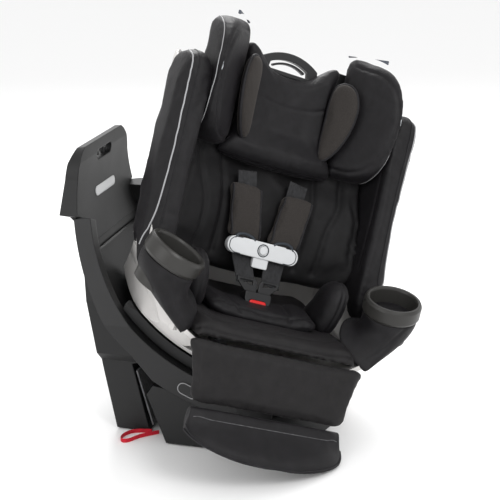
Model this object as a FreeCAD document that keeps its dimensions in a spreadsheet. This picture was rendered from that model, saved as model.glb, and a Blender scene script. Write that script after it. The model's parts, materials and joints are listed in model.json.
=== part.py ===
"""Rotating convertible child car seat.

World frame: origin on the floor under the middle of the base, +Z up, the base faces -Y.
The seat turns on a turntable whose axis leans towards -Y; its parts are drawn in the seat's
own frame (x to the occupant's left, y backwards, z along the turntable axis).
"""
import FreeCAD, Part
import math
import os

Vector = FreeCAD.Vector
Rotation = FreeCAD.Rotation
Placement = FreeCAD.Placement

doc = FreeCAD.newDocument("CarSeat")

# ---------------------------------------------------------------- driving dimensions (mm, deg)
SIZES = [
    ("rail_centre_y", -86.0), ("rail_centre_z", 457.0), ("pivot_drop", 350.0),
    ("recline_tilt", 24.6), ("seat_turn", -55.8),
    ("rail_radius", 393.0), ("arm_top_radius", 342.0), ("upright_radius", 366.0),
    ("bowl_radius", 361.0), ("dish_radius", 364.5), ("sled_radius", 391.0),
    ("base_half_width", 190.0), ("arm_inner", 168.0), ("arm_outer", 195.0),
    ("foot_height", 3.0), ("trough_half_width", 163.0),
    ("shell_half_width", 245.0), ("shell_wall", 8.0), ("back_lean", 28.0),
    ("back_origin_y", 30.0), ("back_origin_z", 200.0),
    ("cup_x", 221.0), ("cup_y", -138.0), ("cup_z", 238.0), ("cup_outer", 54.0),
    ("cup_bore", 44.5), ("cup_depth", 82.0), ("cup_lean_in", 14.0), ("cup_lean_back", 3.0),
    ("strap_width", 38.0), ("strap_thickness", 2.5), ("clip_width", 150.0),
    ("leg_top_y", -226.0), ("leg_top_z", 126.0), ("leg_foot_y", -304.0), ("leg_foot_z", -2.0),
    ("ring_bore", 40.0), ("ring_outer", 93.0), ("ball_circle", 70.0), ("ball_radius", 2.5),
    ("hub_radius", 11.0), ("button_travel", 5.0),
]
sheet = doc.addObject("Spreadsheet::Sheet", "Sizes")
for row, (alias, value) in enumerate(SIZES, start=1):
    sheet.set("A%d" % row, alias)
    sheet.set("B%d" % row, "%g" % value)
    sheet.setAlias("B%d" % row, alias)
doc.recompute()


def size(alias):
    """Value of one driving dimension, read back from the sheet."""
    return float(getattr(sheet, alias))


# ---------------------------------------------------------------- frames
TILT = math.radians(size("recline_tilt"))
RAIL_CENTRE = Vector(0, size("rail_centre_y"), size("rail_centre_z"))
PIVOT = RAIL_CENTRE + Vector(0, math.sin(TILT), -math.cos(TILT)) * size("pivot_drop")
CRADLE = Placement(PIVOT, Rotation(Vector(1, 0, 0), size("recline_tilt")))
SEAT = CRADLE.multiply(Placement(Vector(), Rotation(Vector(0, 0, 1), size("seat_turn"))))
BACK = Placement(Vector(0, size("back_origin_y"), size("back_origin_z")),
                 Rotation(Vector(1, 0, 0), -size("back_lean")))
# In the back frame x is across, -y is forward out of the back rest, z runs up the back rest.
SEAT_BACK = SEAT.multiply(BACK)
LEG_ANGLE = math.degrees(math.atan2(size("leg_top_y") - size("leg_foot_y"),
                                    size("leg_top_z") - size("leg_foot_z")))
LEG = Placement(Vector(0, size("leg_top_y"), size("leg_top_z")),
                Rotation(Vector(1, 0, 0), -LEG_ANGLE))
# In the leg frame z runs up the leg panel and -y points away from the seat.
SEAT_LEG = SEAT.multiply(LEG)
WORLD = Placement()
parts = []


# ---------------------------------------------------------------- helpers
def keep(obj, label):
    obj.Label = label
    parts.append(obj)
    return obj


def feature(label, shape, place=WORLD):
    """A sub-part with a swept, lofted or cut shape, placed in its own frame."""
    obj = doc.addObject("Part::Feature", label)
    obj.Shape = shape
    obj.Placement = place
    return keep(obj, label)


def polar(radius, degrees):
    """Point of the side view (y, z) on a circle about the recline axis; 0 deg points down."""
    a = math.radians(degrees)
    return (RAIL_CENTRE.y + radius * math.sin(a), RAIL_CENTRE.z - radius * math.cos(a))


def place_point(plane, u, v, w=0.0):
    if plane == "YZ":
        return Vector(w, u, v)
    if plane == "XZ":
        return Vector(u, w, v)
    return Vector(u, v, w)


def wire(plane, outline, offset=0.0):
    """Closed wire; an outline item (mid, end) is an arc, a plain (u, v) is a corner."""
    edges = []
    start = here = place_point(plane, *outline[0], offset)
    for item in outline[1:]:
        if isinstance(item[0], tuple):
            mid = place_point(plane, *item[0], offset)
            end = place_point(plane, *item[1], offset)
            edges.append(Part.Arc(here, mid, end).toShape())
        else:
            end = place_point(plane, *item, offset)
            edges.append(Part.LineSegment(here, end).toShape())
        here = end
    if (here - start).Length > 1e-6:
        edges.append(Part.LineSegment(here, start).toShape())
    return Part.Wire(edges)


NORMAL = {"YZ": Vector(1, 0, 0), "XZ": Vector(0, 1, 0), "XY": Vector(0, 0, 1)}


def prism(plane, outline, low, high):
    """Outline in a plane, extruded along the plane's normal from low to high."""
    return Part.Face(wire(plane, outline, low)).extrude(NORMAL[plane] * (high - low))


def box(low, high):
    return Part.makeBox(high[0] - low[0], high[1] - low[1], high[2] - low[2], Vector(*low))


def rounded(shape, radius, choose):
    """Shape with the edges that choose() picks rounded to a radius."""
    edges = [e for e in shape.Edges if choose(e)]
    return shape.makeFillet(radius, edges)


def turned(profile):
    """Solid of revolution about z from (radius, z) points."""
    return Part.Face(wire("XZ", profile)).revolve(Vector(), Vector(0, 0, 1), 360)


def rounded_rect(half_u, half_v, corner):
    """Outline of a rectangle with arc corners, as (u, v) items."""
    k = corner * (1 - math.sqrt(0.5))
    u, v, c = half_u, half_v, corner
    return [(-u + c, -v), (u - c, -v), ((u - k, -v + k), (u, -v + c)), (u, v - c),
            ((u - k, v - k), (u - c, v)), (-u + c, v), ((-u + k, v - k), (-u, v - c)),
            (-u, -v + c), ((-u + k, -v + k), (-u + c, -v))]


def loft(plane, sections):
    """Loft of rounded rectangles: (w, centre_u, centre_v, half_u, half_v, corner)."""
    wires = []
    for w, cu, cv, hu, hv, c in sections:
        ring = [((a[0][0] + cu, a[0][1] + cv), (a[1][0] + cu, a[1][1] + cv))
                if isinstance(a[0], tuple) else (a[0] + cu, a[1] + cv)
                for a in rounded_rect(hu, hv, c)]
        wires.append(wire(plane, ring, w))
    return Part.makeLoft(wires, True, True)


def mirrored(shape):
    return shape.mirror(Vector(), Vector(1, 0, 0))


def pair(stem, shape, place=WORLD):
    """The same piece on the occupant's left (+x) and right (-x)."""
    feature(stem + "_left", shape, place)
    feature(stem + "_right", mirrored(shape), place)


def pad_body(label, plane_role, outline, length, place=WORLD):
    """Body of one sketch, padded by a length that is bound to the sheet."""
    body = doc.addObject("PartDesign::Body", label)
    sketch = body.newObject("Sketcher::SketchObject", label + "_sketch")
    origin_plane = [f for f in body.Origin.OriginFeatures if f.Role == plane_role][0]
    sketch.AttachmentSupport = [(origin_plane, "")]
    sketch.MapMode = "FlatFace"
    here = start = outline[0]
    for item in outline[1:] + [start]:
        if isinstance(item[0], tuple):
            mid, end = item
            sketch.addGeometry(Part.Arc(Vector(*here, 0), Vector(*mid, 0), Vector(*end, 0)), False)
        else:
            end = item
            if math.dist(here, end) > 1e-6:
                sketch.addGeometry(Part.LineSegment(Vector(*here, 0), Vector(*end, 0)), False)
        here = end
    pad = body.newObject("PartDesign::Pad", label + "_pad")
    pad.Profile = sketch
    pad.Midplane = True
    pad.setExpression("Length", "Sizes." + length)
    doc.recompute()
    body.Tip = pad
    body.Placement = place
    return body


def cylinder(label, radius, height, place):
    """Part cylinder with radius and height bound to the sheet."""
    obj = doc.addObject("Part::Cylinder", label)
    obj.setExpression("Radius", "Sizes." + radius)
    obj.setExpression("Height", "Sizes." + height)
    obj.Placement = place
    return obj


def bowl(radius):
    """Ball about the recline centre, in the cradle's and the seat's frames."""
    return Part.makeSphere(radius, Vector(0, 0, size("pivot_drop")))


def arc_band(inner, outer, from_deg, to_deg, low, high):
    """Curved strip about the recline axis between two radii and two angles."""
    mid = (from_deg + to_deg) / 2
    outline = [polar(inner, from_deg), (polar(inner, mid), polar(inner, to_deg)),
               polar(outer, to_deg), (polar(outer, mid), polar(outer, from_deg))]
    return prism("YZ", outline, low, high)


# ---------------------------------------------------------------- base
FRONT_Y = -178.0
NOSE_START_Y = -30.0
FOOT = size("foot_height")
SPLIT_DEG = 28.0
REAR_STOP_DEG = 51.0
NOSE_DEG = -14.0
RAIL_START_DEG = -5.0
RECLINE_STEPS = 5
RECLINE_STEP_DEG = 4.4
LOCK_DEG = 15.0


FRONT_FEET = [(0, 0), (-120, -90), (120, -90), (-150, 60), (150, 60)]
REAR_FEET = [(-115, 182), (115, 182)]
FOOT_RADIUS = 16.0


def foot_bosses(spots):
    """Solid posts that back the rubber feet inside a hollow base part."""
    return Part.makeCompound([Part.makeCylinder(FOOT_RADIUS, 300, Vector(x, y, FOOT))
                              for x, y in spots])


def plan_nose(half_width, rear_y):
    """Plan of the base: straight sides and a round nose."""
    return [(half_width, rear_y), (-half_width, rear_y), (-half_width, NOSE_START_Y),
            ((0, FRONT_Y), (half_width, NOSE_START_Y))]


def base_lower_body():
    rail = size("rail_radius")
    side = [(FRONT_Y, FOOT), (105, FOOT), (140, 96), (128, 114), polar(rail, SPLIT_DEG),
            (polar(rail, 5), polar(rail, NOSE_DEG))]
    half = size("base_half_width")
    solid = prism("YZ", side, -half, half).common(
        prism("XY", plan_nose(half, 200), -10, 200))
    inner = [(FRONT_Y + 8, -1), (97, -1), (128, 92), (118, 102), polar(rail + 6, SPLIT_DEG - 3),
             (polar(rail + 6, 5), polar(rail + 6, NOSE_DEG + 1))]
    hollow = prism("YZ", inner, -half + 6, half - 6).common(
        prism("XY", [(p[0] * 0.965, p[1] - 8) if not isinstance(p[0], tuple) else
                     ((0, FRONT_Y + 7), (p[1][0] * 0.965, p[1][1] - 8))
                     for p in plan_nose(half, 200)], -10, 200))
    rib_pitch = 62
    for k in range(-2, 3):
        hollow = hollow.cut(box((k * rib_pitch - 2, -300, -20), (k * rib_pitch + 2, 300, 300)))
    feature("base_lower_body", solid.cut(hollow.cut(foot_bosses(FRONT_FEET))))


def base_rear_panel():
    inner = size("upright_radius")
    rail = size("rail_radius")
    side = [polar(inner, REAR_STOP_DEG), polar(rail, REAR_STOP_DEG),
            (polar(rail, 40), polar(rail, SPLIT_DEG)), (128.5, 115), (160, 141), (180, 136),
            (150, FOOT), (214, FOOT), (236, 120), (258, 253), (272, 340), (285, 388), (312, 408),
            (301, 500), (292, 524), (278, 526), polar(inner, 97),
            (polar(inner, 74), polar(inner, REAR_STOP_DEG))]
    front = [(-150, 0), (150, 0), (152, 140), (167.5, 158), (167.5, 258), (124, 400),
             (147, 409), (131, 472), ((114, 513), (72, 530)), (-72, 530),
             ((-114, 513), (-131, 472)), (-147, 409), (-124, 400), (-167.5, 258),
             (-167.5, 158), (-152, 140)]
    solid = prism("YZ", side, -170, 170).common(prism("XZ", front, 0, 400))
    lower_hollow = prism("YZ", [(159, -1), (208, -1), (230, 118), (250, 250), (262, 330),
                                (266, 350), (263, 350), (240, 262), (222, 215), (188, 134)], -144, 144)
    solid = solid.cut(lower_hollow.cut(foot_bosses(REAR_FEET)))
    grip_slot = prism("XZ", rounded_shift(37, 10, 9, 0, 497), 200, 400)
    feature("base_rear_panel", solid.cut(grip_slot))


def rounded_shift(half_u, half_v, corner, cu, cv):
    return [((a[0][0] + cu, a[0][1] + cv), (a[1][0] + cu, a[1][1] + cv))
            if isinstance(a[0], tuple) else (a[0] + cu, a[1] + cv)
            for a in rounded_rect(half_u, half_v, corner)]


def base_side_arms():
    top = size("arm_top_radius")
    rail = size("rail_radius")
    side = [polar(top, NOSE_DEG), (polar(top, 34), polar(top, 82)), (284, 404),
            ((257, 304), (225, 238)), ((198, 203), (166, 172)), polar(rail, 33),
            (polar(rail, 8), polar(rail, NOSE_DEG))]
    inner = size("arm_inner")
    outer = size("arm_outer")
    front = [(inner, 40), (outer, 40), (outer, 225), (147, 408), (124.5, 399), (inner, 258)]
    nose = prism("XY", plan_nose(outer, 400), 0, 500)
    band = prism("YZ", side, 0, 220).common(prism("XZ", front, -300, 400)).common(nose)
    pair("base_side_arm", band)


def base_small_parts():
    feet = [Part.makeCylinder(FOOT_RADIUS, FOOT, Vector(x, y, 0)) for x, y in FRONT_FEET + REAR_FEET]
    feature("rubber_feet", Part.makeCompound(feet))
    inner = size("upright_radius")
    middle = polar(inner, 85.7)[1]
    plate = prism("XZ", rounded_shift(50, 9, 8.5, 0, middle), 200, 300)
    feature("upright_plate", plate.common(arc_band(inner - 1.2, inner, 78, 92, -60, 60)))
    hooks = []
    for x in (-26, 12):
        loop = [(x, 489), (x + 3, 489), (x + 3, 499), (x + 11, 499), (x + 11, 491), (x + 14, 491),
                (x + 14, 502), (x, 502)]
        hooks.append(prism("XZ", loop, 284, 290))
    bar = box((-27, 284, 502), (27, 290, 505))
    feature("tether_hooks", bar.fuse(hooks).removeSplitter())
    rail = size("rail_radius")
    strips = [arc_band(rail - 4, rail, RAIL_START_DEG, 50, x - 8, x + 8) for x in (-130, 130)]
    feature("recline_rails", Part.makeCompound(strips))
    rack = arc_band(rail - 4, rail, -12, 26, -18, 18)
    for k in range(RECLINE_STEPS + 1):
        middle = LOCK_DEG - k * RECLINE_STEP_DEG
        rack = rack.cut(arc_band(rail - 5, rail + 1, middle - 1, middle + 1, -10, 10))
    feature("recline_rack", rack)
    outline = rounded_rect(21, 12, 11.5)
    badges = []
    for s in (-1, 1):
        ring = prism("XY", outline, 0, 1.5)
        ring.Placement = Placement(Vector(s * size("arm_outer"), *polar(rail - 21, 23)),
                                   Rotation(Vector(0, 1, 0), 90 * s).multiply(
                                       Rotation(Vector(0, 0, 1), 90 + 23 * s)))
        badges.append(ring)
    feature("base_side_badges", Part.makeCompound(badges))


def lower_anchor_strap():
    """Webbing that runs across the belt slot and is folded at both ends."""
    flat = prism("YZ", [(140, 18), (143, 18), (172, 124), (169, 124)], -154, 154)
    feature("lower_anchor_strap", flat)


LOOP_ROUTE = [(-151.5, 145), (-154, 164), (-161, 181), (-178, 191), (-196, 192), (-204, 184),
              (-198, 173), (-178, 162), (-164, 146), (-151.5, 131)]
LOOP_THICKNESS = 1.6
LOOP_WIDTH = 8.0


def release_loop():
    """Red pull loop of narrow webbing, standing on its edge beside the rear foot."""
    edges = []
    for turn in (90, -90):
        side = []
        for k, point in enumerate(LOOP_ROUTE):
            before = Vector(*LOOP_ROUTE[max(k - 1, 0)], 0)
            after = Vector(*LOOP_ROUTE[min(k + 1, len(LOOP_ROUTE) - 1)], 0)
            out = Rotation(Vector(0, 0, 1), turn).multVec((after - before).normalize())
            corner = Vector(*point, 0) + out * LOOP_THICKNESS / 2
            side.append((corner.x, corner.y))
        edges.append(side)
    feature("release_pull_loop", prism("XY", edges[0] + edges[1][::-1], 0, LOOP_WIDTH))


base_lower_body()
base_rear_panel()
base_side_arms()
base_small_parts()
lower_anchor_strap()
release_loop()


# ---------------------------------------------------------------- recline cradle
SLED_HALF_LENGTH = 161.0
RING_FLOOR_Z = -25.6
BALL_Z = -18.2
LOCK_Y = -66.0


def cradle_sled():
    """Dished carriage that rides on the rails; its flanges cover the arms' top edges."""
    half = size("trough_half_width")
    under = Part.makeCylinder(size("sled_radius"), 2 * half, Vector(-half, 0, 0), Vector(1, 0, 0))
    wide = size("arm_inner") + 10
    over = Part.makeCylinder(size("arm_top_radius") - 3, 2 * wide, Vector(-wide, 0, 0),
                             Vector(1, 0, 0))
    rail_side = under.fuse(over)
    rail_side.translate(Vector(0, 0, size("pivot_drop")))
    block = box((-wide, -SLED_HALF_LENGTH, -60), (wide, SLED_HALF_LENGTH, 62))
    sled = block.common(rail_side).cut(bowl(size("dish_radius")))
    for x in (-130, 130):
        sled = sled.cut(rail_groove(x, 9.5))
    sled = sled.cut(rail_groove(0, 19.5))
    pocket = Part.makeCylinder(size("ring_outer") + 4, 60, Vector(0, 0, RING_FLOOR_Z))
    bore = Part.makeCylinder(size("hub_radius"), 100, Vector(0, 0, -60))
    bolt_bore = box((-9, LOCK_Y - 5, -60), (9, LOCK_Y + 5, 0))
    lever_slot = box((-12.5, -SLED_HALF_LENGTH - 1, 9.5), (12.5, -SLED_HALF_LENGTH + 17, 15))
    sled = sled.cut(pocket).cut(bore).cut(bolt_bore).cut(lever_slot)
    feature("cradle_sled", sled, CRADLE)


def rail_groove(x, half):
    rail = size("rail_radius")
    ring = Part.makeCylinder(rail, 2 * half, Vector(x - half, 0, 0), Vector(1, 0, 0)).cut(
        Part.makeCylinder(rail - 5, 2 * half, Vector(x - half, 0, 0), Vector(1, 0, 0)))
    ring.translate(Vector(0, 0, size("pivot_drop")))
    return ring


def groove(height):
    return Part.makeTorus(size("ball_circle"), size("ball_radius") + 0.4, Vector(0, 0, height))


def turntable():
    bore = size("ring_bore")
    outer = size("ring_outer")
    gap = 0.8
    lower = turned([(bore, RING_FLOOR_Z), (outer + 3, RING_FLOOR_Z), (outer + 3, BALL_Z - gap),
                    (bore, BALL_Z - gap)])
    bolt_room = box((-9, LOCK_Y - 5.5, -26), (9, LOCK_Y + 5.5, -21.9))
    feature("lower_turntable_ring", lower.cut(groove(BALL_Z)).cut(bolt_room), CRADLE)
    upper = turned([(bore, BALL_Z + gap), (outer, BALL_Z + gap), (outer, 0.5), (55, -7.5),
                    (bore, -9.8)])
    feature("upper_turntable_ring", upper.cut(groove(BALL_Z)), SEAT)
    balls = []
    for k in range(24):
        a = math.radians(15 * k)
        where = Vector(math.cos(a), math.sin(a), 0) * size("ball_circle")
        balls.append(Part.makeSphere(size("ball_radius"), where + Vector(0, 0, BALL_Z)))
    feature("turntable_balls", Part.makeCompound(balls), CRADLE)
    hub = cylinder("hub_pivot_bolt_shaft", "hub_radius", "hub_radius * 4.2",
                   CRADLE.multiply(Placement(Vector(0, 0, -35), Rotation())))
    nut = Part.makeCylinder(20, 7, Vector(0, 0, -1.9))
    doc.recompute()
    feature("hub_pivot_bolt", hub.Shape.fuse(nut.copy().transformGeometry(CRADLE.toMatrix())))


def recline_lock():
    """Spring-loaded bolt that drops into the rack, and the pull lever that lifts it."""
    bolt = box((-8, LOCK_Y - 4.5, -32.4), (8, LOCK_Y + 4.5, RING_FLOOR_Z - 0.5))
    feature("recline_lock_bolt", bolt, CRADLE)
    handle = box((-45, -SLED_HALF_LENGTH - 16, 12), (45, -SLED_HALF_LENGTH - 0.5, 20))
    handle = rounded(handle, 3.5, lambda e: e.Length < 9)
    stem = box((-12, -SLED_HALF_LENGTH - 8, 10), (12, -SLED_HALF_LENGTH + 16, 14.5))
    feature("recline_lever", handle.fuse(stem), CRADLE)


cradle_sled()
turntable()
recline_lock()


# ---------------------------------------------------------------- seat shell
def from_back(y, z):
    """Side-view point of the back frame, in the seat frame."""
    p = BACK.multVec(Vector(0, y, z))
    return (p.y, p.z)


def from_leg(y, z):
    p = LEG.multVec(Vector(0, y, z))
    return (p.y, p.z)


REAR_Y = 86.0
SIDE_TOP_Z = 171.0
SHELL_TOP = [(-260, 118), (-216, 133), (-105, SIDE_TOP_Z), (120, SIDE_TOP_Z), (120, -40),
             (-260, -40)]


def shell_plan(inset):
    """Plan of the lower shell, drawn in from its outer face by an inset."""
    w = size("shell_half_width") - inset
    front = 176 - inset
    rear = 203 - inset
    return [(-front, -222), (front, -222), (w - 9, -115), (w, -50), (w - 2, 0),
            (rear, REAR_Y - inset), (-rear, REAR_Y - inset), (-w + 2, 0), (-w, -50), (-w + 9, -115)]


def shell_sides(inset):
    """Front view of the lower shell's sides, which lean in towards the turntable."""
    top = size("shell_half_width") - inset
    foot = 205 - inset
    outline = [(-foot, -50), (foot, -50), (foot, 98), (top, 168), (top, 240), (-top, 240),
               (-top, 168), (-foot, 98)]
    return prism("XZ", outline, -300, 300)


def back_plan(inset):
    """Plan of the back rest's shell: its sides turn in behind the bolsters."""
    w = size("shell_half_width") - inset
    outline = [(-w, -120), (w, -120), (w, 0), (w - 42, 78), (-w + 42, 78), (-w, 0)]
    return prism("XY", outline, -200, 400)


def turn_release_place(side):
    """Frame on the shell's front corner face, its -y pointing out of the shell."""
    facing = math.degrees(math.atan2(107, 60))
    return Placement(Vector(side * 194, -189.9, 121), Rotation(Vector(0, 0, 1), side * facing))


def seat_shell_lower():
    wall = size("shell_wall")
    outer = prism("XY", shell_plan(0), -30, 200).common(bowl(size("bowl_radius")))
    inner = prism("XY", shell_plan(wall), -30, 220).common(bowl(size("bowl_radius") - wall))
    outer = outer.common(shell_sides(0))
    inner = inner.common(shell_sides(wall))
    shell = outer.common(prism("YZ", SHELL_TOP, -260, 260)).cut(inner)
    for side in (1, -1):
        hull = cup_hull()
        hull.Placement = cup_place(side)
        shell = shell.cut(hull)
    for side in (1, -1):
        pocket = prism("XZ", rounded_rect(6.5, 11.5, 4.4), -10, 6.2)
        pocket.Placement = turn_release_place(side)
        shell = shell.cut(pocket)
    front_cut = prism("YZ", [from_leg(21, 40), from_leg(21, -200), (-400, -200), (-400, 300)],
                      -300, 300)
    mouth = box((-150, -260, 66), (150, -150, 200))
    bore = Part.makeCylinder(size("hub_radius") + 1.5, 60, Vector(0, 0, -30))
    return shell.cut(front_cut).cut(mouth).cut(bore)


def seat_shell_back():
    w = size("shell_half_width")
    wall = size("shell_wall")
    side = [(-84, -36), (-26, 238), (-18, 292), (10, 312), (62, 318), (75, 300), (75, -60),
            (40, -90), (-60, -90)]
    outline = [(-w, -90), (w, -90), (w, 290), ((w - 12, 313), (w - 40, 320)),
               (-w + 40, 320), ((-w + 12, 313), (-w, 290))]
    outer = prism("YZ", side, -w, w).common(prism("XZ", outline, -100, 100))
    outer = outer.common(back_plan(0))
    inner = prism("YZ", [(-200, -200), (55, -200), (55, 400), (-200, 400)], -w + wall, w - wall)
    inner = inner.common(back_plan(wall))
    rear_pocket = prism("XZ", rounded_shift(w - 75, 160, 30, 0, 120), 63, 90)
    shell = outer.cut(inner).cut(rear_pocket)
    shell.Placement = BACK
    below = box((-300, -300, -100), (300, 300, SIDE_TOP_Z + 0.2))
    shell = shell.cut(below)
    slots = [box((x - 25, 40, 0), (x + 25, 100, 8)) for x in (-50, 50)]
    for slot in slots:
        slot.Placement = BACK.multiply(Placement(Vector(0, 0, 80), Rotation()))
        shell = shell.cut(slot)
    return shell


# ---------------------------------------------------------------- cup holders and side pods
def cup_place(side):
    lean = Rotation(Vector(0, 1, 0), -side * size("cup_lean_in"))
    lean = lean.multiply(Rotation(Vector(1, 0, 0), -size("cup_lean_back")))
    return Placement(Vector(side * size("cup_x"), size("cup_y"), size("cup_z")), lean)


def cup_shape():
    rim = size("cup_outer")
    bore = size("cup_bore")
    deep = size("cup_depth")
    outer = [(0, -deep), (37, -deep), (45, -34), (rim - 3, -31), (rim, -26), (rim, -5),
             (rim - 3, 0), (bore + 2, 0), (bore, -4), (38, -deep + 12), (32, -deep + 5),
             (0, -deep + 4)]
    return turned(outer)


def cup_hull():
    rim = size("cup_outer")
    deep = size("cup_depth")
    return turned([(0, -deep - 0.4), (37.4, -deep - 0.4), (45.5, -34.4), (rim + 0.4, -31.4), (rim + 0.4, 60),
                   (0, 60)])


def side_pod(side):
    """Padded side pocket that carries a cup holder and tapers to the seat's front corner."""
    top = (206.0, side * 221, -138, 50, 50, 46)
    sections = [(134.0, side * 193, -172, 15, 48, 12), (166.0, side * 210, -152, 34, 56, 28), top]
    pod = loft("XY", sections)
    hull = cup_hull()
    hull.Placement = cup_place(side)
    plan = prism("XY", shell_plan(0), 0, SIDE_TOP_Z)
    shell = plan.common(prism("YZ", SHELL_TOP, -260, 260))
    bolster_room = box((-300, -84, 0), (300, 100, 400))
    return pod.cut(hull).cut(shell).cut(bolster_room)


feature("seat_shell_lower", seat_shell_lower(), SEAT)
feature("seat_shell_back", seat_shell_back(), SEAT)
for side_name, side in (("left", 1), ("right", -1)):
    feature("cup_holder_" + side_name, cup_shape(), SEAT.multiply(cup_place(side)))
    feature("side_pod_" + side_name, side_pod(side), SEAT)


def turn_release_buttons():
    """Push buttons at the front corners of the shell that free the turntable."""
    for side_name, side in (("left", 1), ("right", -1)):
        label = "turn_release_" + side_name
        proud = Placement(Vector(0, -3.5, 0), Rotation())
        place = SEAT.multiply(turn_release_place(side)).multiply(proud)
        body = pad_body(label, "XZ_Plane", rounded_rect(6, 11, 4), "button_travel * 1.6", place)
        keep(body, label)


turn_release_buttons()


# ---------------------------------------------------------------- seat padding
INNER_X = 196.0
BUCKLE = Placement(Vector(0, -66, 130), Rotation(Vector(1, 0, 0), -38))


def seat_cushion():
    side = [(-203, 101), (-207, 118), (-207, 127.5), (-222, 127.5), (-220, 133), (-200, 135),
            (-140, 118), (-90, 101),
            (-30, 94), (74, 94), (74, 64), (-20, 56), (-90, 76)]
    half = 170
    solid = prism("YZ", side, -half, half)
    solid = rounded(solid, 6, lambda e: abs(abs(e.CenterOfMass.x) - half) < 1e-3 and
                    e.Length > 50 and e.CenterOfMass.z > 110)
    room = prism("XY", shell_plan(size("shell_wall")), 0, 200)
    room = room.common(bowl(size("bowl_radius") - size("shell_wall")))
    return solid.common(room).cut(buckle_well())


def insert_cushion():
    side = [(-139, 119.5), (-136, 134), (-122, 138), (-90, 126), (-34, 113), (-31, 95.5),
            (-88, 102)]
    return prism("YZ", side, -118, 118).cut(buckle_well())


def buckle_well():
    """Slot through the seat padding that the buckle stands in."""
    well = box((-28.5, -11.5, -60), (28.5, 11.5, 60))
    well.Placement = BUCKLE
    return well


def back_cushion():
    side = [(-27, 95.5), from_back(0, 0), from_back(0, 66), from_back(36, 82),
            from_back(36, 298), from_back(54, 298), from_back(54, 4), (76, 160), (76, 95.5)]
    pad = prism("YZ", side, -INNER_X + 1, INNER_X - 1)
    return pad.cut(seat_shell_back()).cut(seat_shell_lower())


def bolster():
    side = [(-80, -30), (-87, 150), (-86, 268), (-72, 296), (-34, 304), (36, 300), (54, 280),
            (54, -26), (30, -55), (-45, -92)]
    solid = prism("YZ", side, INNER_X + 1, size("shell_half_width") - size("shell_wall") - 1)
    solid = rounded(solid, 9, lambda e: e.CenterOfMass.y < -60 and e.Length > 60)
    shell = seat_shell_lower()
    shell.Placement = BACK.inverse()
    return solid.cut(shell).common(back_plan(size("shell_wall") + 0.5))


def hip_pad():
    sections = [(108.0, 141, -66, 20, 34, 14), (150.0, 141, -70, 26, 44, 22),
                (214.0, 146, -62, 16, 34, 14)]
    pad = loft("XY", sections)
    return pad.cut(prism("YZ", [(-300, 50), (-300, 132), (-31, 115), (-31, 50)], 0, 300)).cut(
        prism("YZ", [from_back(-1, -200), from_back(-1, 200), (300, 400), (300, -100)], 0, 300))


feature("seat_cushion", seat_cushion(), SEAT)
feature("insert_cushion", insert_cushion(), SEAT)
feature("back_cushion", back_cushion(), SEAT)
pair("torso_bolster", bolster(), SEAT_BACK)
pair("hip_pad", hip_pad(), SEAT)


# ---------------------------------------------------------------- harness
def harness():
    width = size("strap_width")
    thick = size("strap_thickness")
    run = [(50, -17, 97), (43, -17, 10), (34, -21, -32)]
    pair("harness_strap", strap_run(run, width, thick), SEAT_BACK)
    pad = loft("XY", [(14.0, 41, -29, 29, 8.5, 7), (60.0, 49, -30, 30, 9.5, 8),
                      (96.0, 56, -28, 29, 8.5, 7)])
    pair("shoulder_pad", pad, SEAT_BACK)


def strap_run(points, width, thick):
    """Strap whose centre line shifts sideways as it runs down the back rest."""
    solids = []
    for a, b in zip(points, points[1:]):
        low = [(b[0] - width / 2, b[1], b[2]), (b[0] + width / 2, b[1], b[2]),
               (b[0] + width / 2, b[1] + thick, b[2]), (b[0] - width / 2, b[1] + thick, b[2])]
        high = [(a[0] - width / 2, a[1], a[2]), (a[0] + width / 2, a[1], a[2]),
                (a[0] + width / 2, a[1] + thick, a[2]), (a[0] - width / 2, a[1] + thick, a[2])]
        wires = [Part.makePolygon([Vector(*p) for p in ring + ring[:1]]) for ring in (low, high)]
        solids.append(Part.makeLoft(wires, True, True))
    strap = solids[0]
    for solid in solids[1:]:
        strap = strap.fuse(solid)
    return strap


def chest_clip():
    half = size("clip_width") / 2
    plate = prism("XZ", rounded_rect(half, 15.5, 15), -39, -27)
    tab = prism("XZ", rounded_shift(16, 12, 3, 0, -22), -37, -29)
    bore = Part.makeCylinder(8.6, 8, Vector(0, -32, 0), Vector(0, -1, 0))
    clip = plate.fuse(tab).cut(bore)
    place = SEAT_BACK.multiply(Placement(Vector(0, 0, -11), Rotation()))
    feature("chest_clip", clip, place)
    button = cylinder("chest_clip_button", "cup_bore * 0.18", "button_travel",
                      place.multiply(Placement(Vector(0, -36, 0), Rotation(Vector(1, 0, 0), 90))))
    keep(button, "chest_clip_button")


def buckle():
    body = prism("XZ", [(-14, -34), (14, -34), (27, 2), (27, 16), (-27, 16), (-27, 2)], -10, 10)
    body = rounded(body, 3, lambda e: abs(e.CenterOfMass.y) < 1 and e.Length > 15)
    well = prism("XZ", rounded_shift(17.5, 10.5, 5, 0, -9), -12, -4)
    feature("buckle_body", body.cut(well), SEAT.multiply(BUCKLE))
    button = prism("XZ", rounded_shift(17, 10, 5, 0, -9), -11.5, -8.2)
    feature("buckle_button", button, SEAT.multiply(BUCKLE))
    tongue = prism("XZ", [(2, 16.3), (26, 16.3), (44, 34), (44, 41), (8, 41), (2, 33)], -3, 0)
    window = prism("XZ", [(11, 29), (38, 34), (38, 37), (11, 37)], -5, 5)
    tongue = tongue.cut(window)
    feature("buckle_tongues", Part.makeCompound([tongue, mirrored(tongue)]), SEAT.multiply(BUCKLE))
    stem = prism("XZ", [(-14, -60), (14, -60), (14, -34.2), (-14, -34.2)], -1.5, 1.5)
    feature("crotch_strap", stem, SEAT.multiply(BUCKLE))


harness()
chest_clip()
buckle()


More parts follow.
